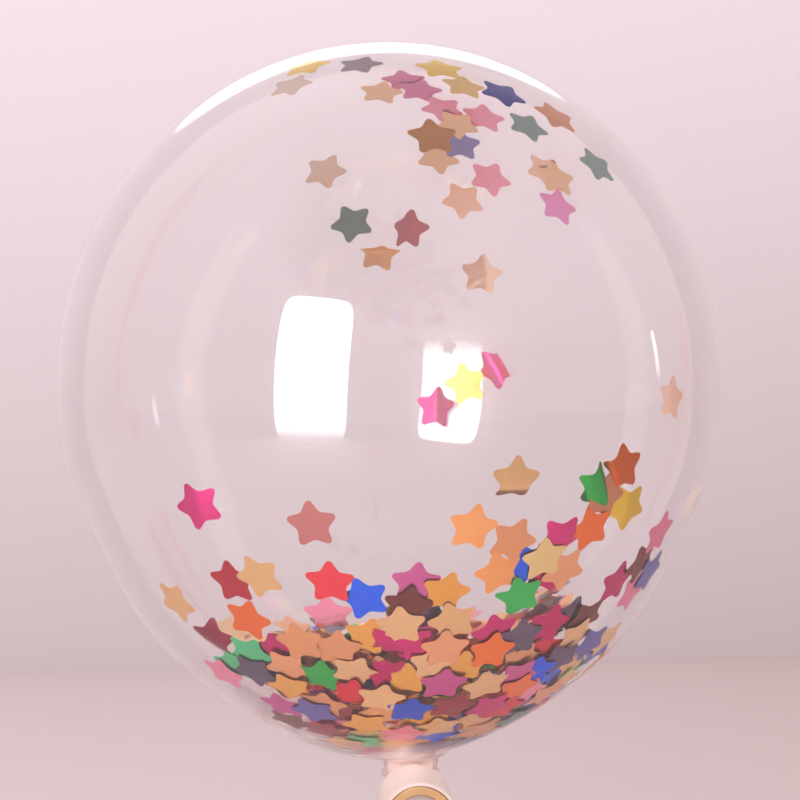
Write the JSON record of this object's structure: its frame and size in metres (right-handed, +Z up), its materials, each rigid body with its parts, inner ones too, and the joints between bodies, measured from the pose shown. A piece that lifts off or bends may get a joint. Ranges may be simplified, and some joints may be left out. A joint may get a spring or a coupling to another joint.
{
  "type": "confetti balloon",
  "caption": "Clear pear-shaped latex balloon filled with foil star confetti, its neck stretched over the nozzle of a plastic pipe tee on a short stem and round foot.",
  "frame": {"origin": "centre of the foot's underside, on the axis of the stem and the nozzle", "axes": "+Z up along the stem to the balloon's crown, -Y the way the holder's port faces, +X to the right as seen from the port's side"},
  "size_m": [0.3, 0.3, 0.4573],
  "materials": {
    "clear_latex": "clear, thin and glossy",
    "moulded_plastic": "smooth cream",
    "amber_brass": "satin",
    "grey_plastic": "matt light grey",
    "rod_plastic": "smooth cream",
    "foot_plastic": "smooth cream"
  },
  "bodies": {
    "root": {"balloon_envelope": "clear_latex", "holder_tee": "moulded_plastic", "port_ring": "amber_brass", "port_plug": "grey_plastic", "stand_stem": "rod_plastic", "stand_foot": "foot_plastic"}
  },
  "joints": []
}
